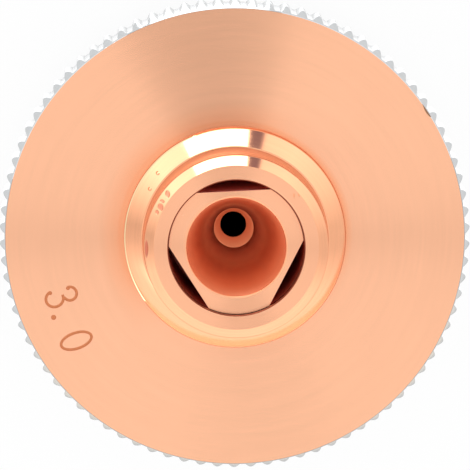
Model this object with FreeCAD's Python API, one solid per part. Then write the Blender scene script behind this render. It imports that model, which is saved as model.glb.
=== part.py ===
import FreeCAD, Part
import math
import os

# Laser cutting nozzle in millimetres. The nose points down and stands on the plane z = 0, +Z runs along the axis
# towards the threaded stub, and the origin is the centre of the nose's tip.
# Two turned pieces: an outer body with a knurled flange, and a core with three flats pressed into its bore. The
# cutting gas runs down the middle of the core and through the three channels beside its flats, which join in the
# ring around the core's tip.

# Heights of the body's three stretches along the axis
nose_height = 6.0
flange_thickness = 4.0
stub_height = 5.0

# Flange and its straight knurl
flange_diameter = 28.0
tooth_count = 86
tooth_depth = 0.30
tooth_crest_width = 0.30
first_tooth_angle = 1.9
rear_bevel_width = 0.34
rear_bevel_height = 0.80
front_bevel_width = 0.70
front_bevel_height = 0.70
blank_allowance = 0.25

# Nose cone
nose_tip_wall = 1.5
nose_tip_edge = 0.20
nose_half_angle = 45.0
nose_fillet = 0.80

# Stub with its lead chamfer, neck and conical seat. The crest of its fine thread is the plain cylinder.
stub_wall = 1.43
lead_chamfer = 0.62
neck_width = 0.45
neck_depth = 0.44
seat_lip = 0.15
seat_cone_width = 1.0
seat_cone_height = 1.0
seat_step = 0.50
seat_edge = 0.06

# Inside of the body
bore_diameter = 8.0
bore_depth = 8.5
bore_edge = 0.05
shoulder_width = 0.40
exit_diameter = 3.0
exit_land = 1.0

# Core
core_recess = 0.35
core_fit_clearance = 0.015
core_edge = 0.05
flat_count = 3
first_flat_angle = 92.65
channel_depth = 0.72
annular_gap = 0.50
core_tip_setback = 1.8
entry_diameter = 5.86
entry_edge = 0.06
waist_diameter = 2.38
waist_depth = 8.75
throat_diameter = 1.56
throat_length = 2.4

# Places that both pieces share
flange_front = nose_height
flange_rear = nose_height + flange_thickness
end_face = flange_rear + stub_height
bore_radius = bore_diameter / 2
exit_radius = exit_diameter / 2
shoulder = end_face - bore_depth
shoulder_radius = bore_radius - shoulder_width

AXIS = FreeCAD.Vector(0, 0, 1)
ORIGIN = FreeCAD.Vector(0, 0, 0)
SAME_LEVEL = 1e-6


def turned(profile):
    """A closed solid of revolution about Z, from the (radius, height) corners of its half section."""
    corners = [FreeCAD.Vector(radius, 0, height) for radius, height in profile]
    section = Part.Face(Part.makePolygon(corners + corners[:1]))
    return section.revolve(ORIGIN, AXIS, 360)


def polar(radius, angle):
    """A point in the plane z = 0, with the angle in radians from +X."""
    return FreeCAD.Vector(radius * math.cos(angle), radius * math.sin(angle), 0)


def smallest_ring(solid, height):
    """The smallest circular edge that lies at one height."""
    rings = []
    for edge in solid.Edges:
        if isinstance(edge.Curve, Part.Circle) and abs(edge.Curve.Center.z - height) < SAME_LEVEL:
            rings.append(edge)
    return min(rings, key=lambda ring: ring.Curve.Radius)


def gas_cone_radius(height):
    """The radius of the body's inner cone, which narrows from the core's shoulder to the exit land."""
    share = (height - exit_land) / (shoulder - exit_land)
    return exit_radius + share * (shoulder_radius - exit_radius)


def nose_points():
    """The nose, from the exit's edge outwards and up to the flange's front face."""
    tip_radius = exit_radius + nose_tip_wall
    base_radius = tip_radius + (nose_height - nose_tip_edge) * math.tan(math.radians(nose_half_angle))
    return [
        (exit_radius, 0),
        (tip_radius - nose_tip_edge, 0),
        (tip_radius, nose_tip_edge),
        (base_radius, flange_front),
    ]


def flange_points():
    """The flange's blank, whose two bevels run on past the knurl's crests."""
    tip_radius = flange_diameter / 2
    blank_radius = tip_radius + blank_allowance
    front_slope = front_bevel_height / front_bevel_width
    rear_slope = rear_bevel_height / rear_bevel_width
    front_face_radius = tip_radius - front_bevel_width
    rear_face_radius = tip_radius - rear_bevel_width
    return [
        (front_face_radius, flange_front),
        (blank_radius, flange_front + front_slope * (blank_radius - front_face_radius)),
        (blank_radius, flange_rear - rear_slope * (blank_radius - rear_face_radius)),
        (rear_face_radius, flange_rear),
    ]


def stub_points():
    """The seat, neck, thread crest and lead chamfer, from the flange's rear face up to the end face."""
    crest_radius = bore_radius + stub_wall
    neck_radius = crest_radius - neck_depth
    seat_top_radius = crest_radius + seat_lip
    seat_base_radius = seat_top_radius + seat_cone_width
    seat_top = flange_rear + seat_step + seat_cone_height
    neck_top = seat_top + neck_width
    return [
        (seat_base_radius, flange_rear),
        (seat_base_radius, flange_rear + seat_step - seat_edge),
        (seat_base_radius - seat_edge, flange_rear + seat_step),
        (seat_top_radius, seat_top),
        (neck_radius, seat_top),
        (neck_radius, neck_top),
        (crest_radius, neck_top + neck_depth),
        (crest_radius, end_face - lead_chamfer),
        (crest_radius - lead_chamfer, end_face),
    ]


def bore_points():
    """The inside, from the bore's mouth down past the core's shoulder to the exit."""
    return [
        (bore_radius + bore_edge, end_face),
        (bore_radius, end_face - bore_edge),
        (bore_radius, shoulder),
        (shoulder_radius, shoulder),
        (exit_radius, exit_land),
    ]


def knurl_prism():
    """A tall prism with the knurl's outline: a sharp valley and a narrow flat crest for each tooth."""
    tip_radius = flange_diameter / 2
    root_radius = tip_radius - tooth_depth
    pitch = 2 * math.pi / tooth_count
    half_crest = tooth_crest_width / 2 / tip_radius
    corners = []
    for tooth in range(tooth_count):
        middle = math.radians(first_tooth_angle) + pitch * tooth
        corners.append(polar(root_radius, middle - pitch / 2))
        corners.append(polar(tip_radius, middle - half_crest))
        corners.append(polar(tip_radius, middle + half_crest))
    outline = Part.Face(Part.makePolygon(corners + corners[:1]))
    outline.translate(FreeCAD.Vector(0, 0, -nose_height))
    return outline.extrude(AXIS * (end_face + 2 * nose_height))


def nozzle_body():
    """The plated outer body, turned from one bar and knurled round its flange."""
    blank = turned(nose_points() + flange_points() + stub_points() + bore_points())
    nose_root = smallest_ring(blank, flange_front)
    filleted = blank.makeFillet(nose_fillet, [nose_root])
    return filleted.common(knurl_prism())


def core_blank():
    """The core before its flats are cut: a head that sits on the shoulder and a cone down the gas passage."""
    core_top = end_face - core_recess
    land_radius = bore_radius - core_fit_clearance
    entry_radius = entry_diameter / 2
    waist_radius = waist_diameter / 2
    throat_radius = throat_diameter / 2
    return turned([
        (throat_radius, core_tip_setback),
        (gas_cone_radius(core_tip_setback) - annular_gap, core_tip_setback),
        (shoulder_radius - annular_gap, shoulder),
        (land_radius, shoulder),
        (land_radius, core_top - core_edge),
        (land_radius - core_edge, core_top),
        (entry_radius + entry_edge, core_top),
        (entry_radius, core_top - entry_edge),
        (waist_radius, core_top - waist_depth),
        (throat_radius, core_tip_setback + throat_length),
    ])


def flat_cutter(angle):
    """A block outside one flat of the core's head, with its face square to the angle, in degrees."""
    flat_distance = bore_radius - channel_depth
    block = Part.makeBox(
        bore_radius,
        2 * bore_diameter,
        bore_depth + end_face,
        FreeCAD.Vector(flat_distance, -bore_diameter, shoulder),
    )
    block.rotate(ORIGIN, AXIS, angle)
    return block


def core_insert():
    """The core, with gas channels left between its flats and the bore."""
    core = core_blank()
    for flat in range(flat_count):
        core = core.cut(flat_cutter(first_flat_angle + 360 * flat / flat_count))
    return core


os.makedirs("parts", exist_ok=True)
for name, shape in (("nozzle_body", nozzle_body()), ("core_insert", core_insert())):
    shape.exportStep("parts/" + name + ".step")
    print(name, "valid", shape.isValid(), "solids", len(shape.Solids), "volume", round(shape.Volume, 2), "mm3")
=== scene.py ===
"""Looks of the laser cutting nozzle: its turned body, its pressed-in core, and the studio they stand in.

The frame's lengths are metres. Shapes are worked out in millimetres and scaled once, when a mesh is made.
"""

import math

import bmesh
import bpy
from bpy.props import FloatProperty, FloatVectorProperty, IntProperty, PointerProperty
from mathutils import Matrix, Vector
from mathutils.geometry import delaunay_2d_cdt


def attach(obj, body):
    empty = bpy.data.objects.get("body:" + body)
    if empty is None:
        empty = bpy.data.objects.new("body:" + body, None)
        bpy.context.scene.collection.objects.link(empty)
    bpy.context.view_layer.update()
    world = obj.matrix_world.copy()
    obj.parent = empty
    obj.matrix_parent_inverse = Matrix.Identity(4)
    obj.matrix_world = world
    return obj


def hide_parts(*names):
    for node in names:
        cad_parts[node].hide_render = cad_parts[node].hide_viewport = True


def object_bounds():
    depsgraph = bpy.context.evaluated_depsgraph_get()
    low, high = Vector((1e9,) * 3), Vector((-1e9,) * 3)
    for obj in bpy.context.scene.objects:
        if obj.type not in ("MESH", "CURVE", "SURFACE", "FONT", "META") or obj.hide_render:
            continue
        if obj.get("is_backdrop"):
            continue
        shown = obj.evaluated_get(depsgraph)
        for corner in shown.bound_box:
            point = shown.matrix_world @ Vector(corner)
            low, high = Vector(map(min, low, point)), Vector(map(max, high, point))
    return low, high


bl_info = {
    "name": "Laser Cutting Nozzle",
    "version": (1, 0, 0),
    "blender": (4, 5, 0),
    "location": "View3D > Sidebar > Nozzle",
    "description": "Builds the turned pieces, finishes and studio of a laser cutting nozzle",
    "category": "Object",
}

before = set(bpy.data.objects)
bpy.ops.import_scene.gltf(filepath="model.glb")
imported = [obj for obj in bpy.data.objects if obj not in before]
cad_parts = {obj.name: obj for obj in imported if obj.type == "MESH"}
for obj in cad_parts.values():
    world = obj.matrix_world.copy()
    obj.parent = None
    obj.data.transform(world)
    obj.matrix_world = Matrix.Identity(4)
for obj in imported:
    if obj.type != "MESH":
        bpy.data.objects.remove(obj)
cad_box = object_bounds()

MM = 0.001
TURN = 2 * math.pi

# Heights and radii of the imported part, in millimetres. The lead chamfer's end and the core's flats lie about
# 0.05 mm further out than its own, as in the photograph.
EXIT_RADIUS = 1.5
EXIT_LAND = 1.0
NOSE_TIP_RADIUS = 3.0
NOSE_TIP_EDGE = 0.2
NOSE_BASE_RADIUS = 8.8
FLANGE_FRONT = 6.0
FLANGE_REAR = 10.0
TOOTH_TIP_RADIUS = 14.0
FRONT_EDGE_RADIUS = 13.3
REAR_EDGE_RADIUS = 13.66
REAR_BEVEL_SLOPE = 0.80 / 0.34
SEAT_BASE_RADIUS = 6.58
SEAT_TOP_RADIUS = 5.58
SEAT_FOOT = 10.5
SEAT_TOP = 11.5
NECK_RADIUS = 4.99
NECK_TOP = 11.95
THREAD_CREST_RADIUS = 5.43
END_FACE = 15.0
LEAD_RADIUS = 4.87
BORE_RADIUS = 4.0
BRIGHT_BORE_END = 12.5
SHOULDER = 6.5
SHOULDER_RADIUS = 3.6
CORE_TOP = 14.65
CORE_LAND_RADIUS = 3.985
CORE_FLAT_DISTANCE = 3.33
CORE_TIP = 1.8
CORE_TIP_RADIUS = 1.305
CORE_CONE_RADIUS = 3.1
ENTRY_RADIUS = 2.93
WAIST_RADIUS = 1.19
WAIST = 5.9
THROAT_RADIUS = 0.78
THROAT_TOP = 4.2

# Columns of points round the axis
COLUMNS = 172
COLUMNS_PER_TOOTH = 12
CORE_COLUMNS = 180

# Material slots of the body and of the core
FACED, POLISHED, BARE, PLATED, MARKED, BORED, TARNISHED, JOINT_AND_CREVICE_SHADE, EDGE_LINE, CHIPPED, SEAT_EDGE_HIGHLIGHT = range(11)
CORE_FACED, CORE_EDGE, CORE_BORED, CORE_THROAT, CORE_OUTSIDE, CORE_JOINT_AND_SHADE = range(6)


def amount(name, description, default, **limits):
    """A number property."""
    return FloatProperty(name=name, description=description, default=default, **limits)


def length(name, description, millimetres):
    """A length property with its default given in millimetres."""
    unit = {"precision": 5, "subtype": "DISTANCE", "unit": "LENGTH"}
    return amount(name, description, millimetres * MM, min=0.0, **unit)


def angle(name, description, degrees):
    """An angle property with its default given in degrees."""
    return amount(name, description, math.radians(degrees), subtype="ANGLE", unit="ROTATION")


def share(name, description, default):
    """A property from nothing to one."""
    return amount(name, description, default, min=0.0, max=1.0, subtype="FACTOR")


def finish_roughness(finish, default):
    """The roughness of one finish."""
    return share(finish + " roughness", "Roughness of the " + finish.lower(), default)


def light_level(name, description, default):
    """A brightness."""
    return amount(name, description, default, min=0.0)


def colour(name, description, default):
    """A linear colour property."""
    limits = {"size": 3, "min": 0.0, "max": 1.0, "subtype": "COLOR"}
    return FloatVectorProperty(name=name, description=description, default=default, **limits)


class NozzleBodySizes(bpy.types.PropertyGroup):
    """Sizes of the body's fine forms."""

    tooth_count: IntProperty(name="Teeth", description="Knurl teeth round the flange", default=86, min=3)
    tooth_depth: length("Tooth depth", "From the knurl's crests to its valleys", 0.30)
    first_tooth: angle("First tooth", "Where the first crest stands, from +X", 1.9)
    crest_roundness: amount("Crest roundness", "1 gives pointed teeth, 2 rounded ones", 1.8, min=1.0, max=4.0)
    tooth_share: share("Tooth share", "How much of the pitch a tooth takes up at its root", 0.66)
    edge: length("Edge break", "How far each turned corner is broken", 0.05)
    nose_fillet: length("Nose fillet", "Tangent length of the fillet under the flange", 0.33)
    thread_pitch: length("Thread pitch", "Rise of the stub's thread in one turn", 0.75)
    thread_depth: length("Thread depth", "From the thread's crest to its root", 0.40)
    thread_root: length("Thread root", "Width of the flat at the thread's root", 0.06)
    thread_start: angle("Thread start", "Where the groove runs out", 176)
    mark_depth: length("Mark depth", "How deep the bore number is engraved", 0.03)
    mark_stroke: length("Mark stroke", "Width of the engraved strokes", 0.16)


class NozzleCoreSizes(bpy.types.PropertyGroup):
    """Sizes of the core's fine forms."""

    flat_count: IntProperty(name="Flats", description="Flats on the core's head", default=3, min=1)
    first_flat: angle("First flat", "Where the first flat faces, from +X", 92.65)
    edge: length("Edge break", "How far each corner is broken", 0.05)
    entry_edge: length("Entry edge", "Break round the mouth of the core's cone", 0.11)
    joint: length("Joint", "Gap at the top of the lands", 0.005)


class NozzleFinishes(bpy.types.PropertyGroup):
    """Colours and roughness of the nozzle's finishes."""

    faced: colour("Faced copper", "Turned flat faces", (0.93, 0.492, 0.306))
    # Also the tone of the painted shade and reflection of the seat wall on the rear face
    burnished_and_seat_shade: colour("Burnished copper and painted seat shade", "Rear face close to the seat", (0.93, 0.40, 0.21))
    polished: colour("Polished copper", "Seat and lead chamfer", (0.95, 0.448, 0.25))
    # A painted highlight along the seat's outer edge
    seat_edge_highlight: colour("Seat edge highlight", "Bright part of the seat's outer edge", (1.0, 0.78, 0.46))
    bare: colour("Bare copper", "Thread and neck", (0.86, 0.31, 0.15))
    bored: colour("Bored copper", "The core's cone", (0.96, 0.46, 0.28))
    throat: colour("Throat copper", "Ring round the core's hole", (1.0, 0.50, 0.29))
    bore_wall: colour("Bore wall", "The bore beside the core's flats", (0.90, 0.24, 0.13))
    tarnished: colour("Tarnished copper", "The core's outside, in the gas channels", (0.92, 0.32, 0.26))
    # The joint's own dark line, also used as painted shade in the crevice between core and bore and down the
    # core's throat
    joint: colour("Joint", "Dark line between the two pieces", (0.24, 0.055, 0.028))
    marked: colour("Engraved copper", "Strokes of the bore number", (0.65, 0.227, 0.10))
    plating: colour("Plating", "Chrome on the knurl and nose", (0.84, 0.86, 0.87))
    plating_edge: colour("Plating edge", "Line where the plating ends", (0.36, 0.34, 0.32))
    chipped: colour("Chipped plating", "Where a chip of plating has gone", (0.33, 0.18, 0.11))
    faced_roughness: finish_roughness("Turned flat faces", 0.21)
    polished_roughness: finish_roughness("Seat and chamfer", 0.10)
    thread_roughness: finish_roughness("Thread and neck", 0.42)
    bare_roughness: finish_roughness("Joint and edges", 0.28)
    bored_roughness: finish_roughness("Core's cone", 0.45)
    throat_roughness: finish_roughness("Ring round the core's hole", 0.40)
    plating_roughness: finish_roughness("Chrome", 0.18)
    bored_ledge: amount("Bored ledge", "Slope of the fine ledges in the cone", 0.24)
    throat_ledge: amount("Throat ledge", "Slope of the ledges round the hole", 1.6)
    face_tilt: amount("Groove tilt", "Outward lean of the grooves' broader side", 0.05, min=0.0, max=0.3)


class NozzleStudio(bpy.types.PropertyGroup):
    """The camera, lights and floor."""

    camera_distance: length("Camera distance", "From the rear face", 450)
    focal_length: amount("Focal length", "In millimetres", 580, min=1)
    dome_level: light_level("Dome level", "Light from overhead", 1.12)
    middle_level: light_level("Middle level", "Light between the walls and the dome", 0.95)
    front_lift: light_level("Front lift", "Extra light low in front of the nozzle", 1.3)
    lamp_level: light_level("Lamp level", "Brightness of the lamp's face", 4.0)
    lamp_distance: length("Lamp distance", "From the nozzle to the lamp", 350)
    lamp_card_level: light_level("Lamp card", "Card under the lamp", 2.2)
    mat_card_level: light_level("Mat card", "Pale ring before the nozzle", 0.92)
    mat_card_shade: light_level("Mat card shade", "The same ring, away from its middle", 0.74)
    shade_card_level: light_level("Shade card", "Darker ring inside it", 0.62)
    foot_card_level: light_level("Foot card", "White ring below the flange", 1.25)
    under_card_level: light_level("Under card", "Shade below the flange", 0.72)
    front_card_level: light_level("Front card", "Card before the nozzle", 1.44)
    lens_radius: length("Lens radius", "Of the camera's dark front", 48)
    floor_radius: length("Floor radius", "Of the floor", 250)


def math_operator(operation, swapped=False):
    """A method for an operator between a wire and a value, which adds one Math node."""

    def method(self, value):
        return self.tree.math(operation, *((value, self) if swapped else (self, value)))

    return method


class Wire:
    """A socket of a node tree. Python's operators on it add the Math nodes of an expression."""

    def __init__(self, tree, socket):
        self.tree = tree
        self.socket = socket

    def other(self, name):
        """Another output of the same node."""
        return Wire(self.tree, found(self.socket.node.outputs, name))

    __add__ = math_operator("ADD")
    __radd__ = __add__
    __sub__ = math_operator("SUBTRACT")
    __rsub__ = math_operator("SUBTRACT", swapped=True)
    __mul__ = math_operator("MULTIPLY")
    __rmul__ = __mul__
    __truediv__ = math_operator("DIVIDE")
    __rtruediv__ = math_operator("DIVIDE", swapped=True)

    def __abs__(self):
        return self.tree.math("ABSOLUTE", self)


def found(sockets, key):
    """The socket with that place, identifier or name."""
    if isinstance(key, int):
        return sockets[key]
    for socket in sockets:
        if socket.identifier == key:
            return socket
    return sockets[key]


class NodeTree:
    """Builds the nodes of one material or world."""

    def __init__(self, owner):
        owner.use_nodes = True
        self.tree = owner.node_tree
        self.tree.nodes.clear()

    def node(self, kind, settings, inputs, output=0):
        """Adds one node: its settings first, then the values or links of its sockets."""
        node = self.tree.nodes.new(kind)
        for name, value in settings.items():
            if name == "stops":
                fill_ramp(node.color_ramp, value)
            else:
                setattr(node, name, value)
        for key, value in inputs.items():
            socket = found(node.inputs, key)
            if isinstance(value, Wire):
                self.tree.links.new(value.socket, socket)
            else:
                socket.default_value = value
        return Wire(self, found(node.outputs, output)) if node.outputs else node

    def math(self, operation, *values):
        """One Math node."""
        return self.node("ShaderNodeMath", {"operation": operation}, dict(enumerate(values)))

    def between(self, value, low, high):
        """How far a value is from low to high, eased, from 0 to 1."""
        inputs = {"Value": value, "From Min": low, "From Max": high, "To Min": 0.0, "To Max": 1.0}
        return self.node("ShaderNodeMapRange", {"interpolation_type": "SMOOTHSTEP"}, inputs)

    def mix(self, factor, first, second):
        """A colour between two colours."""
        inputs = {"Factor_Float": factor, "A_Color": first, "B_Color": second}
        return self.node("ShaderNodeMix", {"data_type": "RGBA"}, inputs, "Result_Color")

    def shades(self, factor, rgb, darkest, lightest):
        """A colour between its darkest and lightest tone."""
        return self.mix(factor, opaque(scaled(rgb, darkest)), opaque(scaled(rgb, lightest)))

    def place(self):
        """The object's x, y and z in millimetres."""
        spot = self.node("ShaderNodeTexCoord", {}, {}, "Object")
        x = self.node("ShaderNodeSeparateXYZ", {}, {"Vector": spot}, "X")
        return [axis / MM for axis in (x, x.other("Y"), x.other("Z"))]

    def radius(self):
        """The distance from the axis in millimetres."""
        x, y, _ = self.place()
        return self.math("SQRT", x * x + y * y)

    def noise(self, place, scale, detail):
        """Smooth noise from 0 to 1 over a place given by its three coordinates."""
        spot = self.node("ShaderNodeCombineXYZ", {}, dict(enumerate(place)))
        inputs = {"Vector": spot, "Scale": scale, "Detail": detail}
        return self.node("ShaderNodeTexNoise", {"noise_dimensions": "3D"}, inputs, "Fac")


def fill_ramp(ramp, stops):
    """Sets a ramp's stops to the (place, (red, green, blue)) pairs."""
    while len(ramp.elements) < len(stops):
        ramp.elements.new(1.0)
    for element, (place, rgb) in zip(ramp.elements, stops):
        element.position = place
        element.color = opaque(rgb)


def opaque(rgb):
    """A colour with full alpha."""
    return (*rgb, 1.0)


def scaled(rgb, factor):
    """A colour made lighter or darker."""
    return tuple(min(1.0, channel * factor) for channel in rgb)


def grey(level):
    """A grey with full alpha."""
    return opaque((level, level, level))


# How much height counts against radius in the length along a cone or cylinder
HEIGHT_SHARE = 0.37
# How metallic the bore's wall and the tarnished copper are
BORE_WALL_METALLIC = 0.4
TARNISHED_METALLIC = 0.5


def turning_marks(tree, along, per_millimetre, drift):
    """Uneven rings left by a turning tool, from 0 to 1, which change slowly round the axis."""
    x, y, _ = tree.place()
    return tree.noise((along * per_millimetre, x * drift, y * drift), scale=1.0, detail=2.0)


def cone_marks(tree, per_millimetre, drift):
    """Turning marks along cones and cylinders alike."""
    return turning_marks(tree, tree.radius() - tree.place()[2] * HEIGHT_SHARE, per_millimetre, drift)


def varied(pattern, middle, spread):
    """A value that follows a pattern from 0 to 1 about its middle."""
    return pattern * spread + (middle - spread / 2)


# Dents in the faces, and in the chamfer and seat: x, y, half sizes along both, and depth, in millimetres. One
# that stands out has a depth below 0.
FACE_DENTS = (
    (3.38, 3.10, 0.08, 0.20, 0.012),
    (3.66, 3.18, 0.08, 0.20, 0.012),
    (-3.13, 1.95, 0.07, 0.07, -0.02),
)
CONE_DENTS = (
    (-4.04, 3.17, 0.16, 0.24, 0.05),
    (-4.36, 2.74, 0.16, 0.12, 0.04),
    (-4.46, 2.40, 0.20, 0.26, 0.05),
    (-4.66, 2.10, 0.12, 0.16, 0.04),
    (-5.29, -0.08, 0.12, 0.62, 0.08),
    (-4.59, 3.94, 0.12, 0.12, -0.06),
    (-5.06, 3.02, 0.12, 0.12, -0.06),
)
# How much of a dent's depth shows as relief
DENT_BUMP = 0.3


def dented(tree, dents):
    """How deep small dents are at each place, in millimetres."""
    x, y, _ = tree.place()
    total = 0.0
    for across, up, half_width, half_height, depth in dents:
        off_x = (x - across) / half_width
        off_y = (y - up) / half_height
        total = tree.between(off_x * off_x + off_y * off_y, 1.0, 0.0) * depth + total
    return total


def metal(name, inputs, colour_link, roughness_link, height_link):
    """A metal whose colour, roughness and surface height in millimetres come from the given tree builder."""
    material = bpy.data.materials.new(name)
    tree = NodeTree(material)
    sockets = {"Metallic": 1.0, "Base Color": colour_link(tree), "Roughness": roughness_link(tree)}
    relief = {"Strength": 1.0, "Distance": MM, "Height": height_link(tree)}
    sockets["Normal"] = tree.node("ShaderNodeBump", {}, relief)
    shader = tree.node("ShaderNodeBsdfPrincipled", {}, {**sockets, **inputs})
    tree.node("ShaderNodeOutputMaterial", {}, {"Surface": shader})
    return material


# How much of the flat faces' tone each kind of mark makes up, and the clouds
MARK_PART = 0.35
CLOUD_PART = 0.3
# The side on which the rear face gets painted shade and reflection of the seat wall, and how much of that is
# cloudy and how much even
SEAT_SHADE_SIDE = (-0.8, 0.6)
SEAT_SHADE_CLOUDS = (0.6, 0.5)
# The width of the ring of painted shade at the seat's foot, and the share of burnishing on the stub's and
# core's flat faces
FOOT_RING = 0.5
END_WEAR = 0.3
# How much a millimetre of dent burnishes a face
FACE_DENT_WEAR = 60


def faced_copper(finishes):
    """Copper turned flat: broad highlights across the grooves, narrow ones along them."""

    def marks(tree):
        fine = turning_marks(tree, tree.radius(), per_millimetre=9.0, drift=0.3)
        return fine, turning_marks(tree, tree.radius(), per_millimetre=2.2, drift=0.12)

    def tone(tree):
        fine, broad = marks(tree)
        clouds = tree.noise(tree.place(), scale=0.35, detail=3.0)
        factor = broad * MARK_PART + fine * MARK_PART + clouds * CLOUD_PART
        plain = tree.shades(factor, finishes.faced, darkest=0.93, lightest=1.07)
        # Painted shade and reflection of the seat wall: darker, redder copper near the seat towards -x and +y,
        # and in a ring at its foot towards +y. The end faces and dents take the same tone as wear.
        x, y, _ = tree.place()
        radius = tree.radius()
        side_x, side_y = SEAT_SHADE_SIDE
        side = tree.between(y * side_y + x * side_x, low=0.0, high=5.0)
        near_seat = tree.between(radius, low=8.4, high=SEAT_BASE_RADIUS) * side
        foot = tree.between(radius, low=SEAT_BASE_RADIUS + FOOT_RING, high=SEAT_BASE_RADIUS)
        outside = tree.between(radius, low=5.0, high=SEAT_BASE_RADIUS)
        cloudy, even = SEAT_SHADE_CLOUDS
        wear_and_seat_shade = near_seat * (clouds * cloudy + even) + foot * tree.between(y, low=-5.0, high=2.0)
        wear_and_seat_shade = outside * wear_and_seat_shade + (1 - outside) * END_WEAR
        return tree.mix(wear_and_seat_shade + dented(tree, FACE_DENTS) * FACE_DENT_WEAR, plain, opaque(finishes.burnished_and_seat_shade))

    def rough(tree):
        pattern = turning_marks(tree, tree.radius(), per_millimetre=3.1, drift=0.2)
        return varied(pattern, finishes.faced_roughness, spread=0.05)

    def height(tree, fine_relief=0.0004, broad_relief=0.0012):
        fine, broad = marks(tree)
        outside = tree.math("MAXIMUM", tree.radius() - SEAT_BASE_RADIUS, 0.0)
        relief = fine * fine_relief + broad * broad_relief
        return relief - outside * finishes.face_tilt - dented(tree, FACE_DENTS)

    settings = {"Anisotropic": 1.0, "Anisotropic Rotation": 0.25}
    return metal("faced copper", settings, tone, rough, height)


# How far up the core's cone its painted shade starts to fade and ends, in millimetres
CONE_SHADE_FADE = 1.2
CONE_SHADE_END = 3.6
# The tint of the cone's painted shade and of the dents' wear, and the dent depth, in millimetres, that takes
# it up in full
DARK_TINT = (0.80, 0.52, 0.56)
DARK_DENT = 0.05


def ringed_metal(name, base, roughness, relief=0.001, ledge=0.0, ledge_foot=None, dents=(), metallic=1.0):
    """Metal with turning rings on cones and cylinders.

    Fine ledges lean a bore's surface upwards. If their foot is given, their slope grows from nothing there.
    Dents are seen along the axis.
    """

    def tone(tree):
        pattern = cone_marks(tree, per_millimetre=6.0, drift=0.25)
        plain = tree.shades(pattern, base, darkest=0.92, lightest=1.06)
        dark = dented(tree, dents) / DARK_DENT if dents else 0.0
        # Painted shade: the cone darkens towards its foot, round the throat
        if ledge_foot is not None:
            dark = tree.between(tree.place()[2], ledge_foot + CONE_SHADE_END, ledge_foot + CONE_SHADE_FADE)
        return tree.mix(dark, plain, opaque([channel * tint for channel, tint in zip(base, DARK_TINT)]))

    def rough(tree):
        return varied(cone_marks(tree, per_millimetre=4.0, drift=0.3), roughness, spread=0.08)

    def height(tree):
        z = tree.place()[2]
        if ledge_foot is not None:
            z = (z - ledge_foot) * (z - ledge_foot) / (2 * (CORE_TOP - ledge_foot))
        rings = cone_marks(tree, per_millimetre=7.0, drift=0.2)
        return rings * relief - z * ledge - dented(tree, dents) * DENT_BUMP

    return metal(name, {"Metallic": metallic}, tone, rough, height)


def engraved_copper(finishes):
    """Copper darkened and roughened by the engraving laser."""

    def spots(tree):
        return tree.noise(tree.place(), scale=9.0, detail=3.0)

    def tone(tree):
        return tree.shades(spots(tree), finishes.marked, darkest=0.8, lightest=1.2)

    def rough(tree):
        return varied(spots(tree), middle=0.45, spread=0.2)

    def height(tree, relief=0.004):
        return spots(tree) * relief

    return metal("engraved copper", {}, tone, rough, height)


def chrome_plating(finishes):
    """Satin chrome over the knurl, rim and nose."""

    def spots(tree):
        return tree.noise(tree.place(), scale=3.0, detail=4.0)

    def tone(tree):
        return tree.shades(spots(tree), finishes.plating, darkest=0.92, lightest=1.08)

    def rough(tree):
        return varied(spots(tree), finishes.plating_roughness, spread=0.12)

    def height(tree, relief=0.0015, ring_relief=0.001):
        return spots(tree) * relief + cone_marks(tree, per_millimetre=5.0, drift=0.2) * ring_relief

    return metal("chrome plating", {}, tone, rough, height)


class Rings:
    """Rings of points about the axis, in millimetres, and the faces that join them."""

    def __init__(self):
        self.points = []
        self.faces = []
        self.slots = []

    def ring(self, angles, radii, heights):
        """Adds one ring and returns its points' places in the list."""
        first = len(self.points)
        for turn, radius, height in zip(angles, radii, heights):
            self.points.append((radius * math.cos(turn), radius * math.sin(turn), height))
        return list(range(first, len(self.points)))

    def plain_ring(self, angles, radius, height):
        """Adds a round ring at one height."""
        return self.ring(angles, [radius] * len(angles), [height] * len(angles))

    def face(self, corners, slot):
        """Adds one face."""
        self.faces.append(corners)
        self.slots.append(slot)

    def band(self, first, second, slot):
        """Joins two rings with as many points each."""
        count = len(first)
        for column in range(count):
            after = (column + 1) % count
            self.face([first[column], first[after], second[after], second[column]], slot)

    def recut(self, count, slot, chosen):
        """Gives another slot to the chosen columns of the band added last."""
        for column in range(count):
            if chosen(column):
                self.slots[column - count] = slot

    def fan_out(self, coarse, fine, slot):
        """Joins a ring to one further out that has several points for each of its own."""
        times = len(fine) // len(coarse)
        for column, start in enumerate(coarse):
            after = coarse[(column + 1) % len(coarse)]
            outer = [fine[(column * times + step) % len(fine)] for step in range(times + 1)]
            self.face([start, after] + outer[::-1], slot)

    def turned(self, angles, line, slot, start):
        """Joins on a ring for each (radius, height) of a line, and returns the last one."""
        ring = start
        for radius, height in line:
            above = self.plain_ring(angles, radius, height)
            self.band(ring, above, slot)
            ring = above
        return ring


def rounded(corners, segments=3):
    """The line through (radius, height, edge) corners, each turned on a curve that starts its edge away."""
    line = []
    for place, (radius, height, edge) in enumerate(corners):
        corner = Vector((radius, height))
        if not edge:
            line.append(corner)
            continue
        before = Vector(corners[place - 1][:2]) - corner
        after = Vector(corners[place + 1][:2]) - corner
        start = corner + before.normalized() * min(edge, before.length / 2)
        end = corner + after.normalized() * min(edge, after.length / 2)
        for step in range(segments + 1):
            part = step / segments
            line.append(start * (1 - part) ** 2 + corner * 2 * part * (1 - part) + end * part**2)
    return line


def even_angles(count, first=0.0):
    """Angles of a full turn."""
    return [first + TURN * column / count for column in range(count)]


# Points of a mesh nearer than this, in metres, are one, and an edge that turns further than this is sharp
MERGE_DISTANCE = 1e-8
SHARP_ANGLE = math.radians(32)


def placed(name, data):
    """A new object of the scene."""
    piece = bpy.data.objects.new(name, data)
    bpy.context.scene.collection.objects.link(piece)
    return piece


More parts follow.
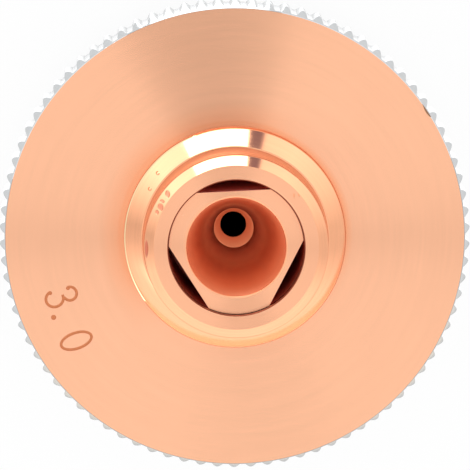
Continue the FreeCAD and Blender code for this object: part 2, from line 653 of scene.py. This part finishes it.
def finished_mesh(name, rings, materials, flat_slots, smooth_slots, engraved=None, depth=0.0):
    """Makes a mesh object, in metres, with its flat and sharp places marked and its mark sunk.

    Its texture space is centred on the axis, since the turned faces' narrow highlights run round its middle.
    """
    mesh = bpy.data.meshes.new(name)
    mesh.from_pydata([Vector(point) * MM for point in rings.points], [], rings.faces)
    mesh.polygons.foreach_set("material_index", rings.slots)
    for material in materials:
        mesh.materials.append(material)
    work = bmesh.new()
    work.from_mesh(mesh)
    bmesh.ops.remove_doubles(work, verts=work.verts, dist=MERGE_DISTANCE)
    bmesh.ops.dissolve_degenerate(work, edges=work.edges, dist=MERGE_DISTANCE)
    if engraved is not None:
        sunk = [face for face in work.faces if face.material_index == engraved]
        inset = {"thickness": depth / 2, "depth": -depth, "use_even_offset": True}
        made = bmesh.ops.inset_region(work, faces=sunk, **inset)
        for face in made["faces"]:
            face.material_index = engraved
    for face in work.faces:
        face.smooth = face.material_index not in flat_slots
    for edge in work.edges:
        faces = edge.link_faces
        if len(faces) == 2 and not all(face.material_index in smooth_slots for face in faces):
            edge.smooth = edge.calc_face_angle(0) < SHARP_ANGLE
    work.to_mesh(mesh)
    work.free()
    mesh.use_auto_texspace = False
    mesh.texspace_location = (0, 0, 0)
    mesh.texspace_size = (TOOTH_TIP_RADIUS * MM,) * 3
    return placed(name, mesh)


def tooth_radius(sizes, turn):
    """The knurl's radius at an angle: rounded crests with narrow flat valleys."""
    pitch = TURN / sizes.tooth_count
    place = (turn - sizes.first_tooth) / pitch
    off = min(1.0, abs(place - round(place)) * 2 / sizes.tooth_share)
    return TOOTH_TIP_RADIUS - sizes.tooth_depth / MM * off**sizes.crest_roundness


# Nicks on the rear edge: place and half width in degrees, then how far in and how far down in millimetres. The
# first is a dark line where the plating has chipped, and the second is a bright facet.
NICKS = ((33.2, 1.9, 0.09, 0.0), (122.8, 1.8, 0.0, 0.04))
# Between these places, in degrees, no dark line shows at the plating's edge
PALE_EDGES = ((20, 78), (118, 165))
# Rounding of the teeth at the rear and front bevel, how far their foot leans in, and the width of the line
# where the plating ends, in millimetres
CREST_ROUNDING = 0.035
FOOT_ROUNDING = 0.3
FOOT_LEAN = 0.017
EDGE_LINE_WIDTH = 0.025


def nicked(turn):
    """How far the rear edge is pushed in and down at an angle."""
    inward = down = 0.0
    for place, half_width, depth, drop in NICKS:
        off = abs(math.degrees(turn) % 360 - place) / half_width
        if off < 1:
            inward += depth * (1 - off * off)
            down += drop * (1 - off * off)
    return inward, down


def rim(rings, sizes, front_ring):
    """The plated rim from the front face round the knurl to the copper face's edge, which is returned."""
    count = sizes.tooth_count * COLUMNS_PER_TOOTH
    angles = even_angles(count, sizes.first_tooth)
    radii = [tooth_radius(sizes, turn) for turn in angles]
    front_face = rings.plain_ring(angles, FRONT_EDGE_RADIUS, FLANGE_FRONT)
    rings.fan_out(front_ring, front_face, PLATED)
    front = [FLANGE_FRONT + radius - FRONT_EDGE_RADIUS for radius in radii]
    rear = [FLANGE_REAR - (radius - REAR_EDGE_RADIUS) * REAR_BEVEL_SLOPE for radius in radii]
    nicks = [nicked(turn) for turn in angles]
    ring = front_face
    for inward, heights, rise in (
        (FOOT_LEAN, front, 0),
        (0, front, FOOT_ROUNDING),
        (0, rear, -3 * CREST_ROUNDING),
        (0, rear, -CREST_ROUNDING),
        (CREST_ROUNDING / REAR_BEVEL_SLOPE, rear, CREST_ROUNDING / 2),
    ):
        shrunk = [radius - inward for radius in radii]
        above = rings.ring(angles, shrunk, [height + rise for height in heights])
        rings.band(ring, above, PLATED)
        ring = above
    edge = rings.ring(angles, [REAR_EDGE_RADIUS] * count, [FLANGE_REAR - down for _, down in nicks])
    inner_radii = [REAR_EDGE_RADIUS - EDGE_LINE_WIDTH - inward for inward, _ in nicks]
    inner = rings.ring(angles, inner_radii, [FLANGE_REAR] * count)
    rings.band(ring, edge, PLATED)
    rings.band(edge, inner, EDGE_LINE)

    def pale(column):
        place = math.degrees(angles[column]) % 360
        return nicks[column][1] or any(first < place < last for first, last in PALE_EDGES)

    rings.recut(count, PLATED, pale)
    rings.recut(count, CHIPPED, lambda column: nicks[column][0])
    return inner


# The bore number 3.0, engraved to be read with its top towards the stub. Lengths are millimetres on the rear
# face, from the middle of the 3, with u along the line of digits and v towards their tops.
MARK_PLACE = (-10.306, -3.608)
MARK_UP = math.radians(18.9)
UPPER_BOWL = (-0.053, 0.535, 0.405, 0.405)
UPPER_BOWL_SWEEP = (178, -78)
LOWER_BOWL = (-0.048, -0.428, 0.481, 0.523)
LOWER_BOWL_SWEEP = (100, -168)
TERMINALS = ((-0.40, 0.53, 0.11), (-0.46, -0.56, 0.11))
POINT = (0.98, -0.843, 0.15)
ZERO = (2.745, -0.03, 0.47, 0.945)
STROKE_STEPS = 28
# Points of the rear face nearer than this, in millimetres, are one
SAME_POINT = 1e-6


def arc(shape, start, end, widen=0.0):
    """Points along an oval of the mark, from one angle to another in degrees."""
    middle_u, middle_v, half_width, half_height = shape
    top = Vector((math.cos(MARK_UP), math.sin(MARK_UP)))
    right = Vector((math.sin(MARK_UP), -math.cos(MARK_UP)))
    points = []
    for step in range(STROKE_STEPS + 1):
        turn = math.radians(start + (end - start) * step / STROKE_STEPS)
        along = middle_u + (half_width + widen) * math.cos(turn)
        up = middle_v + (half_height + widen) * math.sin(turn)
        points.append(Vector(MARK_PLACE) + right * along + top * up)
    return points


def rear_face(rings, outer_ring, inner_ring, stroke):
    """The flat copper face between two rings, with the strokes of the mark as faces of their own.

    Every outline of the mark runs counter-clockwise.
    """
    half = stroke / 2
    outlines = []
    for bowl, sweep in ((UPPER_BOWL, UPPER_BOWL_SWEEP), (LOWER_BOWL, LOWER_BOWL_SWEEP)):
        outlines.append(arc(bowl, *sweep, -half) + arc(bowl, *sweep, half)[::-1])
    rounds = [((u, v, radius, radius), 0.0) for u, v, radius in (*TERMINALS, POINT)]
    for shape, widen in rounds + [(ZERO, half), (ZERO, -half)]:
        outlines.append(arc(shape, 0, 360, widen)[1:])
    known = outer_ring + inner_ring
    flat = [Vector(rings.points[place][:2]) for place in known]
    loops = [list(range(len(outer_ring))), list(range(len(outer_ring), len(known)))]
    for outline in outlines:
        loops.append(list(range(len(flat), len(flat) + len(outline))))
        flat.extend(outline)
    hole = 1
    zero_inside = len(loops) - 1
    made, _, faces, origins, _, owners = delaunay_2d_cdt(flat, [], loops, 0, SAME_POINT)
    places = []
    for point, origin in zip(made, origins):
        ringed = [known[place] for place in origin if place < len(known)]
        if ringed:
            places.append(ringed[0])
        else:
            places.append(len(rings.points))
            rings.points.append((point.x, point.y, FLANGE_REAR))
    for corners, owner in zip(faces, owners):
        if hole in owner or 0 not in owner:
            continue
        struck = any(loop > hole for loop in owner) and zero_inside not in owner
        rings.face([places[corner] for corner in corners], MARKED if struck else FACED)


# Height that the groove climbs to, the heights between which it runs out, and its flanks' slope in degrees
GROOVE_END = 14.66
RUN_OUT = (13.95, 14.42)
FLANK_ANGLE = 30


def thread_radius(sizes, turn, height):
    """The stub's radius: the thread, which runs out on the lead chamfer, above the neck's slope."""
    pitch = sizes.thread_pitch / MM
    low, high = RUN_OUT
    climb = GROOVE_END + pitch * (turn - sizes.thread_start) / TURN
    turns = round((height - climb) / pitch)
    middle = climb + pitch * turns
    late = min(1.0, max(0.0, (middle - low) / (high - low)))
    depth = sizes.thread_depth / MM * (1 - late * late * (3 - 2 * late))
    flank = 1 / math.tan(math.radians(FLANK_ANGLE))
    groove = min(depth, max(0.0, depth - (abs(height - middle) - sizes.thread_root / MM / 2) * flank))
    slope = NECK_RADIUS + height - NECK_TOP
    chamfer = LEAD_RADIUS + END_FACE - height
    return min(THREAD_CREST_RADIUS - groove, slope, chamfer - late * groove)


# The height of one row of the thread's points, and the height that the lead chamfer ends at
THREAD_STEP = 0.03
CHAMFER_END = 14.985


def thread(rings, sizes, angles, start):
    """The threaded stub with its lead chamfer, joined on from the neck's top ring."""
    rows = math.ceil((CHAMFER_END - NECK_TOP) / THREAD_STEP)
    chamfer_foot = END_FACE - (THREAD_CREST_RADIUS - LEAD_RADIUS)
    ring = start
    for row in range(1, rows + 1):
        height = NECK_TOP + (CHAMFER_END - NECK_TOP) * row / rows
        radii = [thread_radius(sizes, turn, height) for turn in angles]
        above = rings.ring(angles, radii, [height] * len(angles))
        rings.band(ring, above, POLISHED if height > chamfer_foot else BARE)
        ring = above
    return ring


# Between these places, in degrees, the seat's outer edge carries a painted highlight
BRIGHT_LAND = (110, 214)
# Between these places, in degrees, the joint's dark line, partly painted shade of the crevice, reaches up the
# bore's wall
JOINT_ON_WALL = (246, 299)
# The break of the finest corners, and the joint's depth and lower end, as shares of the edge break
FINE_BREAK = 0.4
JOINT_DEPTH = 8
JOINT_FOOT = 10


def joined(rings, angles, start, stretches):
    """Joins rings on from start for each (line, slot), and returns the last ring.

    A third entry gives a stretch's last band another slot between two places, in degrees.
    """
    ring = start
    for line, slot, *patches in stretches:
        ring = rings.turned(angles, line, slot, ring)
        for patch, (first, last) in patches:
            rings.recut(len(angles), patch, lambda place: first < math.degrees(angles[place]) < last)
    return ring


def body_rings(sizes):
    """All of the body's surface, ring by ring from the exit outwards, up the outside and down the bore."""
    rings = Rings()
    angles = even_angles(COLUMNS, sizes.first_tooth)
    edge = sizes.edge / MM
    fine = FINE_BREAK * edge
    fillet = sizes.nose_fillet / MM
    exit_ring = rings.plain_ring(angles, EXIT_RADIUS, edge)
    nose = rounded([
        (EXIT_RADIUS + edge, 0, 0),
        (NOSE_TIP_RADIUS - NOSE_TIP_EDGE, 0, edge),
        (NOSE_TIP_RADIUS, NOSE_TIP_EDGE, edge),
        (NOSE_BASE_RADIUS, FLANGE_FRONT, fillet),
        (NOSE_BASE_RADIUS + 2 * fillet, FLANGE_FRONT, 0),
    ])
    front_ring = rings.turned(angles, nose, PLATED, exit_ring)
    outer_ring = rim(rings, sizes, front_ring)
    step_foot = rings.plain_ring(angles, SEAT_BASE_RADIUS + fine, FLANGE_REAR)
    rear_face(rings, outer_ring, step_foot, sizes.mark_stroke / MM)
    step = rounded([
        (SEAT_BASE_RADIUS + 2 * edge, FLANGE_REAR, 0),
        (SEAT_BASE_RADIUS, FLANGE_REAR, fine),
        (SEAT_BASE_RADIUS, SEAT_FOOT, 0),
    ])
    seat = rounded([
        (SEAT_BASE_RADIUS - 3 * fine, SEAT_FOOT, 0),
        (SEAT_BASE_RADIUS - 3.5 * fine, SEAT_FOOT + fine / 2, 0),
        (SEAT_TOP_RADIUS, SEAT_TOP, edge),
        (NECK_RADIUS, SEAT_TOP, 0),
    ])
    neck = joined(rings, angles, step_foot, (
        (step[2:-1], BARE),
        ([(SEAT_BASE_RADIUS, SEAT_FOOT - 2 * fine)], BARE),
        # The seat's outer edge gets a painted highlight between BRIGHT_LAND's places
        (seat[:1], BARE, (SEAT_EDGE_HIGHLIGHT, BRIGHT_LAND)),
        (seat[1:-1], POLISHED),
        ([(NECK_RADIUS, SEAT_TOP), (NECK_RADIUS, NECK_TOP)], BARE),
    ))
    chamfer_end = thread(rings, sizes, angles, neck)
    end_edge = rounded([
        (LEAD_RADIUS + 1, END_FACE - 1, 0),
        (LEAD_RADIUS, END_FACE, END_FACE - CHAMFER_END),
        (BORE_RADIUS, END_FACE, 0),
    ])
    mouth = rounded([
        (LEAD_RADIUS, END_FACE, 0),
        (BORE_RADIUS, END_FACE, 3.5 * fine),
        (BORE_RADIUS, SHOULDER, 0),
    ])
    gas_cone_end = joined(rings, angles, chamfer_end, (
        (end_edge[1:-1], POLISHED),
        (mouth[1:2], FACED),
        (mouth[2:-1], JOINT_AND_CREVICE_SHADE),
        ([(BORE_RADIUS, CORE_TOP + edge)], BARE, (JOINT_AND_CREVICE_SHADE, JOINT_ON_WALL)),
        ([(BORE_RADIUS, CORE_TOP - JOINT_DEPTH * edge)], JOINT_AND_CREVICE_SHADE),
        ([(BORE_RADIUS, BRIGHT_BORE_END)], BORED),
        ([(BORE_RADIUS, SHOULDER), (SHOULDER_RADIUS, SHOULDER), (EXIT_RADIUS, EXIT_LAND)], TARNISHED),
    ))
    rings.band(gas_cone_end, exit_ring, TARNISHED)
    return rings


def core_angles(sizes):
    """Angles round the core, with one on each corner of its flats."""
    angles = even_angles(CORE_COLUMNS)
    half_flat = math.acos(CORE_FLAT_DISTANCE / CORE_LAND_RADIUS)
    for flat in range(sizes.flat_count):
        middle = sizes.first_flat + TURN * flat / sizes.flat_count
        for corner in (middle - half_flat, middle + half_flat):
            nearest = round(corner / TURN * CORE_COLUMNS) % CORE_COLUMNS
            angles[nearest] = corner % TURN
    return angles


def head_radius(sizes, turn):
    """The core's head: round lands cut by flats."""
    pitch = TURN / sizes.flat_count
    off = (turn - sizes.first_flat + pitch / 2) % pitch - pitch / 2
    return min(CORE_LAND_RADIUS, CORE_FLAT_DISTANCE / math.cos(off))


def core_rings(sizes):
    """All of the core's surface, from its throat's lower end outwards, up and down through its cone."""
    rings = Rings()
    angles = core_angles(sizes)
    edge = sizes.edge / MM
    entry_edge = sizes.entry_edge / MM
    outside = rounded([
        (THROAT_RADIUS, CORE_TIP, 0),
        (CORE_TIP_RADIUS, CORE_TIP, edge),
        (CORE_CONE_RADIUS, SHOULDER, 0),
    ])
    throat_foot = rings.plain_ring(angles, THROAT_RADIUS, CORE_TIP)
    cone_top = rings.turned(angles, outside[1:], CORE_OUTSIDE, throat_foot)
    radii = [head_radius(sizes, turn) for turn in angles]
    joint = sizes.joint / MM
    fine = FINE_BREAK / 2 * edge
    ring = cone_top
    for inward, height, slot in (
        (0, SHOULDER, CORE_OUTSIDE),
        (0, CORE_TOP - JOINT_FOOT * edge, CORE_OUTSIDE),
        (joint, CORE_TOP - JOINT_DEPTH * edge, CORE_JOINT_AND_SHADE),
        (joint, CORE_TOP - fine, CORE_JOINT_AND_SHADE),
        (joint + fine, CORE_TOP, CORE_JOINT_AND_SHADE),
    ):
        above = rings.ring(angles, [radius - inward for radius in radii], [height] * len(angles))
        rings.band(ring, above, slot)
        rings.recut(len(radii), CORE_OUTSIDE, lambda place: radii[place] < CORE_LAND_RADIUS - edge / 2)
        ring = above
    mouth = rounded([
        (CORE_FLAT_DISTANCE, CORE_TOP, 0),
        (ENTRY_RADIUS, CORE_TOP, entry_edge),
        (WAIST_RADIUS, WAIST, 0),
    ])
    throat = joined(rings, angles, ring, (
        (mouth[1:2], CORE_FACED),
        (mouth[2:-1], CORE_EDGE),
        ([(WAIST_RADIUS, WAIST)], CORE_BORED),
        ([(THROAT_RADIUS, THROAT_TOP)], CORE_THROAT),
    ))
    # The throat's wall takes the joint's dark colour as painted shade down the hole
    rings.band(throat, throat_foot, CORE_JOINT_AND_SHADE)
    return rings


class NOZZLE_OT_body(bpy.types.Operator):
    """Build the plated outer body with its knurl, bore number, seat and thread"""

    bl_idname = "nozzle.body"
    bl_label = "Nozzle Body"

    def execute(self, context):
        sizes = context.scene.nozzle_body_sizes
        finishes = context.scene.nozzle_finishes
        polished = finishes.polished_roughness
        plain = finishes.bare_roughness
        bored = finishes.bored_roughness
        materials = [
            faced_copper(finishes),
            ringed_metal("polished copper", finishes.polished, polished, relief=0.0008, dents=CONE_DENTS),
            ringed_metal("bare copper", finishes.bare, finishes.thread_roughness),
            chrome_plating(finishes),
            engraved_copper(finishes),
            ringed_metal("bored body", finishes.bore_wall, bored, metallic=BORE_WALL_METALLIC),
            ringed_metal("tarnished body", finishes.tarnished, bored, metallic=TARNISHED_METALLIC),
            ringed_metal("joint", finishes.joint, plain),
            ringed_metal("plating edge", finishes.plating_edge, plain),
            ringed_metal("chipped plating", finishes.chipped, plain),
            ringed_metal("painted seat edge highlight", finishes.seat_edge_highlight, polished, relief=0.0008),
        ]
        mark = {"engraved": MARKED, "depth": sizes.mark_depth}
        body = finished_mesh("nozzle_body_turned", body_rings(sizes), materials, (FACED,), (BARE,), **mark)
        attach(body, "root")
        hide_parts("nozzle_body")
        return {"FINISHED"}


class NOZZLE_OT_core(bpy.types.Operator):
    """Build the pressed-in core with its flats and funnel"""

    bl_idname = "nozzle.core"
    bl_label = "Nozzle Core"

    def execute(self, context):
        sizes = context.scene.nozzle_core_sizes
        finishes = context.scene.nozzle_finishes
        plain = finishes.bare_roughness
        bored = finishes.bored_roughness
        throat = finishes.throat_roughness
        materials = [
            faced_copper(finishes),
            ringed_metal("core edge", finishes.polished, plain, relief=0.0005),
            ringed_metal("bored copper", finishes.bored, bored, ledge=finishes.bored_ledge, ledge_foot=WAIST),
            ringed_metal("throat copper", finishes.throat, throat, ledge=finishes.throat_ledge),
            ringed_metal("tarnished copper", finishes.tarnished, bored, metallic=TARNISHED_METALLIC),
            ringed_metal("core joint and painted throat shade", finishes.joint, plain),
        ]
        core = finished_mesh("core_insert_turned", core_rings(sizes), materials, (CORE_FACED,), ())
        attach(core, "root")
        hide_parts("core_insert")
        return {"FINISHED"}


# Direction from the nozzle to the camera, and the point the camera looks at, in millimetres
VIEW_DIRECTION = Vector((-0.018, 0.131, 0.991)).normalized()
VIEW_TARGET = Vector((0.003, 0.107, FLANGE_REAR))

WHITE = (1.0, 1.0, 1.0)
CREAM = (1.0, 0.90, 0.77)

# Light levels of the studio's walls near the horizon, by azimuth in degrees from +X
WALL_LEVELS = (
    (0, 0.93), (23, 1.36), (50, 1.66), (70, 1.54), (72, 0.34), (79, 0.34), (81, 1.60), (124, 2.10),
    (143, 2.18), (157, 1.60), (169, 1.14), (179, 0.82), (188, 0.92), (204, 1.38), (320, 1.40), (347, 0.93),
    (360, 0.93),
)
NOTCH = (71, 80)
NOTCH_TINT = (0.94, 0.82, 1.15)
LEVEL_RANGE = 4.0

# The dark seam across the dome: its place to -y, its width overhead, what that gains lower down, and how
# dark it is
SEAM_PLACE = 0.131
SEAM_WIDTH = 0.03
SEAM_GAIN = 0.07
SEAM_DEPTH = 0.17


def wall_stops():
    """The ramp stops of the walls' light, with a cool tint in the dark notch."""
    stops = []
    first, last = NOTCH
    for azimuth, level in WALL_LEVELS:
        tint = NOTCH_TINT if first < azimuth < last else WHITE
        stops.append((azimuth / 360, scaled(tint, level / LEVEL_RANGE)))
    return stops


def studio_world(studio):
    """The studio's light dome: white to the camera, with a dark seam overhead and uneven walls."""
    world = bpy.data.worlds.new("studio")
    bpy.context.scene.world = world
    tree = NodeTree(world)
    direction = tree.node("ShaderNodeTexCoord", {}, {}, "Generated")
    x = tree.node("ShaderNodeSeparateXYZ", {}, {"Vector": direction}, "X")
    y = x.other("Y")
    z = x.other("Z")
    turns = tree.math("FRACT", tree.math("ARCTAN2", y, x) / TURN + 1.0)
    walls = tree.node("ShaderNodeValToRGB", {"stops": wall_stops()}, {"Fac": turns}, "Color")
    overhead = tree.between(z, low=0.35, high=0.75)
    lower = tree.mix(tree.between(z, low=0.15, high=0.27), walls, grey(studio.middle_level / LEVEL_RANGE))
    level = tree.mix(overhead, lower, grey(studio.dome_level / LEVEL_RANGE))
    front = tree.between(y, low=-0.25, high=-0.9) * tree.between(z, low=-0.01, high=0.02)
    front = front * tree.between(z, low=0.42, high=0.28)
    low = 1 - tree.math("MAXIMUM", z, 0.0)
    seam = abs(y + SEAM_PLACE) / (low * SEAM_GAIN + SEAM_WIDTH)
    dark = tree.math("EXPONENT", -1 * seam * seam) * SEAM_DEPTH * overhead
    camera_ray = tree.node("ShaderNodeLightPath", {}, {}, "Is Camera Ray")
    shown = tree.mix(camera_ray, level, opaque(WHITE))
    lift = front * studio.front_lift + 1
    strength = (1 - dark) * lift * LEVEL_RANGE * (1 - camera_ray) + camera_ray
    light = tree.node("ShaderNodeBackground", {}, {"Color": shown, "Strength": strength})
    tree.node("ShaderNodeOutputWorld", {}, {"Surface": light})


def polar(radius, turn, height=0.0):
    """A point from its radius, its angle round the axis and its height."""
    return Vector((radius * math.cos(turn), radius * math.sin(turn), height))


def staged(name, points, faces, material):
    """A mesh that belongs to the studio."""
    mesh = bpy.data.meshes.new(name)
    mesh.from_pydata(points, [], faces)
    mesh.materials.append(material)
    piece = placed(name, mesh)
    piece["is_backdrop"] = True
    return piece


DISC_STEPS = 96


def staged_disc(name, radius, place, facing, material):
    """A flat disc of the studio."""
    turn = facing.to_track_quat("Z", "Y").to_matrix()
    points = [place + turn @ polar(radius, around) for around in even_angles(DISC_STEPS)]
    return staged(name, points, [list(range(DISC_STEPS))], material)


def glossy_only(piece):
    """Lets only reflections see a piece of the studio."""
    for kind in ("camera", "diffuse", "transmission", "shadow"):
        setattr(piece, "visible_" + kind, False)


# How bright the floor looks to the camera and to reflections
FLOOR_GLOW = 0.92


def floor_material():
    """A pale floor with a painted shadow, black in the middle under the nozzle's exit, that the camera and
    reflections see as white.
    """
    material = bpy.data.materials.new("pale floor")
    tree = NodeTree(material)
    radius = tree.radius()
    camera_ray = tree.node("ShaderNodeLightPath", {}, {}, "Is Camera Ray")
    seen = camera_ray
    for kind in ("Is Glossy Ray", "Is Transmission Ray"):
        seen = tree.math("MAXIMUM", seen, camera_ray.other(kind))
    # Painted shadow: the floor is black under the nozzle's exit, so that its hole looks dark
    pale = tree.mix(tree.between(radius, low=2.2, high=3.0), grey(0.0), grey(0.88))
    paint = tree.node("ShaderNodeBsdfDiffuse", {}, {"Color": pale})
    white = tree.node("ShaderNodeEmission", {}, {"Color": opaque(WHITE), "Strength": 1.0})
    glowing = seen * tree.between(radius, low=4.0, high=15.0) * FLOOR_GLOW
    both = tree.node("ShaderNodeMixShader", {}, {0: glowing, 1: paint, 2: white})
    tree.node("ShaderNodeOutputMaterial", {}, {"Surface": both})
    return material


# The lamp's middle, spread, elevation and half height, in degrees
LAMP_AZIMUTH = 100.9
LAMP_SPREAD = 40.0
LAMP_ELEVATION = 7.5
LAMP_HALF_HEIGHT = 5.0
# Each card's middle and spread, in degrees from +X, and its two radii, in millimetres
LAMP_CARD = (97.0, 33.0, 20.5, 60.0)
MAT_CARD = (277.0, 327.0, 20.5, 60.0)
SHADE_CARD = (0.0, 360.0, 16.4, 20.5)
FOOT_CARD = (0.0, 360.0, 14.25, 16.4)
UNDER_CARD = (0.0, 360.0, 9.0, 14.25)
FRONT_CARD = (268.0, 172.0, 48.0, 245.0)
CARD_STEPS = 48
# How far from its middle, in degrees, a card keeps its own level, and where it reaches its other one
FRONT_FADE = (46.0, 86.0)
MAT_FADE = (45.0, 75.0)
# The distance of the dark disc that stands for the lens, as a share of the camera's
LENS_PLACE = 1.02


def lamp(studio):
    """A low softbox beside the nozzle, whose face the polished cones reflect."""
    distance = studio.lamp_distance
    width = 2 * distance * math.tan(math.radians(LAMP_SPREAD / 2))
    height = 2 * distance * math.tan(math.radians(LAMP_HALF_HEIGHT))
    light = bpy.data.lights.new("softbox", "AREA")
    light.shape = "RECTANGLE"
    light.size = width
    light.size_y = height
    light.energy = studio.lamp_level * math.pi * width * height
    elevation = math.radians(LAMP_ELEVATION)
    out = polar(math.cos(elevation), math.radians(LAMP_AZIMUTH), math.sin(elevation))
    box = placed("softbox", light)
    box.location = Vector((0, 0, END_FACE * MM)) + out * distance
    box.rotation_mode = "QUATERNION"
    box.rotation_quaternion = out.to_track_quat("Z", "Y")
    box.visible_camera = False


def emission(name, level, middle=0.0, fade=None, end_level=FLOOR_GLOW, tint=WHITE):
    """A material that glows. A fade takes it to another level, in white, away from a sector's middle."""
    material = bpy.data.materials.new(name)
    tree = NodeTree(material)
    shade = opaque(tint)
    if fade:
        x, y, _ = tree.place()
        turn = math.radians(middle)
        toward = (x * math.cos(turn) + y * math.sin(turn)) / tree.radius()
        kept, ended = (math.cos(math.radians(place)) for place in fade)
        full = tree.between(toward, ended, kept)
        level = full * (level - end_level) + end_level
        shade = tree.mix(full, opaque(WHITE), shade)
    glow = tree.node("ShaderNodeEmission", {}, {"Color": shade, "Strength": level})
    tree.node("ShaderNodeOutputMaterial", {}, {"Surface": glow})
    return material


def card(name, place, level, *fading):
    """A card on the floor that only reflections see: a sector with its middle, spread and two radii."""
    middle, spread, near, far = place
    count = CARD_STEPS + 1
    turns = [math.radians(middle + spread * (step / CARD_STEPS - 0.5)) for step in range(count)]
    points = [polar(radius, turn, height=0.1) * MM for radius in (near, far) for turn in turns]
    faces = [(step, step + 1, count + step + 1, count + step) for step in range(CARD_STEPS)]
    glossy_only(staged(name, points, faces, emission(name, level, middle, *fading)))


def camera(studio):
    """The camera at the photograph's angle, with +Y up in the picture."""
    back = VIEW_DIRECTION
    right = Vector((0, 1, 0)).cross(back).normalized()
    up = back.cross(right)
    data = bpy.data.cameras.new("camera")
    data.sensor_width = 36
    data.lens = studio.focal_length
    eye = placed("camera", data)
    place = VIEW_TARGET * MM + back * studio.camera_distance
    turn = Matrix((right, up, back)).transposed().to_4x4()
    eye.matrix_world = Matrix.Translation(place) @ turn
    bpy.context.scene.camera = eye


class NOZZLE_OT_studio(bpy.types.Operator):
    """Build the floor, lights and camera"""

    bl_idname = "nozzle.studio"
    bl_label = "Studio"

    def execute(self, context):
        studio = context.scene.nozzle_studio
        context.scene.view_settings.view_transform = "Standard"
        studio_world(studio)
        staged_disc("floor", studio.floor_radius, Vector((0, 0, 0)), Vector((0, 0, 1)), floor_material())
        behind_camera = VIEW_TARGET * MM + VIEW_DIRECTION * (studio.camera_distance * LENS_PLACE)
        dark = emission("lens black", level=0.02)
        glossy_only(staged_disc("lens_front", studio.lens_radius, behind_camera, VIEW_DIRECTION, dark))
        lamp(studio)
        card("lamp_card", LAMP_CARD, studio.lamp_card_level)
        card("mat_card", MAT_CARD, studio.mat_card_level, MAT_FADE, studio.mat_card_shade, CREAM)
        card("shade_card", SHADE_CARD, studio.shade_card_level)
        card("foot_card", FOOT_CARD, studio.foot_card_level)
        card("under_card", UNDER_CARD, studio.under_card_level)
        card("front_card", FRONT_CARD, studio.front_card_level, FRONT_FADE)
        camera(studio)
        return {"FINISHED"}


class NOZZLE_PT_panel(bpy.types.Panel):
    """Buttons for the nozzle's pieces and its studio"""

    bl_label = "Laser Cutting Nozzle"
    bl_space_type = "VIEW_3D"
    bl_region_type = "UI"
    bl_category = "Nozzle"

    def draw(self, context):
        for operator in OPERATORS:
            self.layout.operator(operator.bl_idname)
        for name in GROUPS:
            group = getattr(context.scene, name)
            box = self.layout.box()
            for key in group.bl_rna.properties.keys():
                if key not in ("rna_type", "name"):
                    box.prop(group, key)


OPERATORS = (NOZZLE_OT_body, NOZZLE_OT_core, NOZZLE_OT_studio)
GROUPS = {
    "nozzle_body_sizes": NozzleBodySizes,
    "nozzle_core_sizes": NozzleCoreSizes,
    "nozzle_finishes": NozzleFinishes,
    "nozzle_studio": NozzleStudio,
}
CLASSES = (*GROUPS.values(), *OPERATORS, NOZZLE_PT_panel)


def register():
    """Registers the classes and hangs the settings on the scene."""
    for item in CLASSES:
        bpy.utils.register_class(item)
    for name, group in GROUPS.items():
        setattr(bpy.types.Scene, name, PointerProperty(type=group))


def unregister():
    """Takes the settings and classes away again."""
    for name in GROUPS:
        delattr(bpy.types.Scene, name)
    for item in reversed(CLASSES):
        bpy.utils.unregister_class(item)


def main():
    """Builds everything."""
    register()
    bpy.ops.nozzle.body()
    bpy.ops.nozzle.core()
    bpy.ops.nozzle.studio()
    boxes = {"cad": cad_box, "visual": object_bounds()}
    boxes = {name: [list(corner) for corner in box] for name, box in boxes.items()}


if __name__ == "__main__":
    main()
